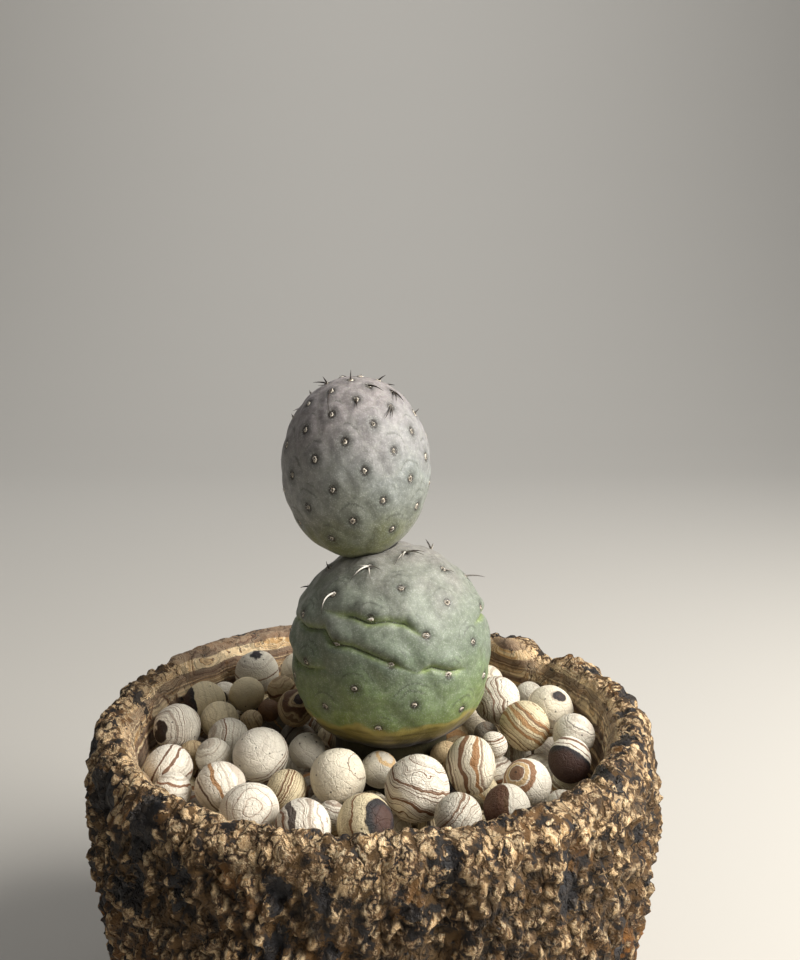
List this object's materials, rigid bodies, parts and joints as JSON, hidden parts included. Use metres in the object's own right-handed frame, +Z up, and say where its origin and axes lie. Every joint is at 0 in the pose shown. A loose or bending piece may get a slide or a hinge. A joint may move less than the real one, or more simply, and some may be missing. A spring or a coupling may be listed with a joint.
{
  "type": "potted tephrocactus",
  "caption": "Two-segment cactus with short spines, rooted in a round bark-textured stoneware bowl topped with banded clay pebbles.",
  "frame": {"origin": "centre of the bowl's flat foot", "axes": "+Z up, -Y towards the front of the bowl, +X to the right seen from the front"},
  "size_m": [0.127, 0.1265, 0.1595],
  "materials": {
    "bark_stoneware": "rough unglazed, cracked",
    "soil": "loose and matte",
    "pebbles": "matte, banded",
    "lower_skin": "waxy skin",
    "upper_skin": "waxy skin"
  },
  "bodies": {
    "root": {"pot": "bark_stoneware", "soil": "soil", "pebble_bed": "pebbles", "lower_segment": "lower_skin", "upper_segment": "upper_skin", "pebble_01": "pebbles", "pebble_02": "pebbles", "pebble_03": "pebbles", "pebble_04": "pebbles", "pebble_05": "pebbles", "pebble_06": "pebbles", "pebble_07": "pebbles", "pebble_08": "pebbles", "pebble_09": "pebbles", "pebble_10": "pebbles", "pebble_11": "pebbles", "pebble_12": "pebbles", "pebble_13": "pebbles", "pebble_14": "pebbles", "pebble_15": "pebbles", "pebble_16": "pebbles", "pebble_17": "pebbles", "pebble_18": "pebbles", "pebble_19": "pebbles", "pebble_20": "pebbles", "pebble_21": "pebbles", "pebble_22": "pebbles", "pebble_23": "pebbles", "pebble_24": "pebbles", "pebble_25": "pebbles", "pebble_26": "pebbles", "pebble_27": "pebbles", "pebble_28": "pebbles", "pebble_29": "pebbles", "pebble_30": "pebbles", "pebble_31": "pebbles", "pebble_32": "pebbles", "pebble_33": "pebbles", "pebble_34": "pebbles", "pebble_35": "pebbles", "pebble_36": "pebbles", "pebble_37": "pebbles", "pebble_38": "pebbles", "pebble_39": "pebbles", "pebble_40": "pebbles", "pebble_41": "pebbles", "pebble_42": "pebbles", "pebble_43": "pebbles", "pebble_44": "pebbles", "pebble_45": "pebbles", "pebble_46": "pebbles", "pebble_47": "pebbles", "pebble_48": "pebbles", "pebble_49": "pebbles", "pebble_50": "pebbles", "pebble_51": "pebbles", "pebble_52": "pebbles", "pebble_53": "pebbles", "pebble_54": "pebbles"}
  },
  "joints": []
}
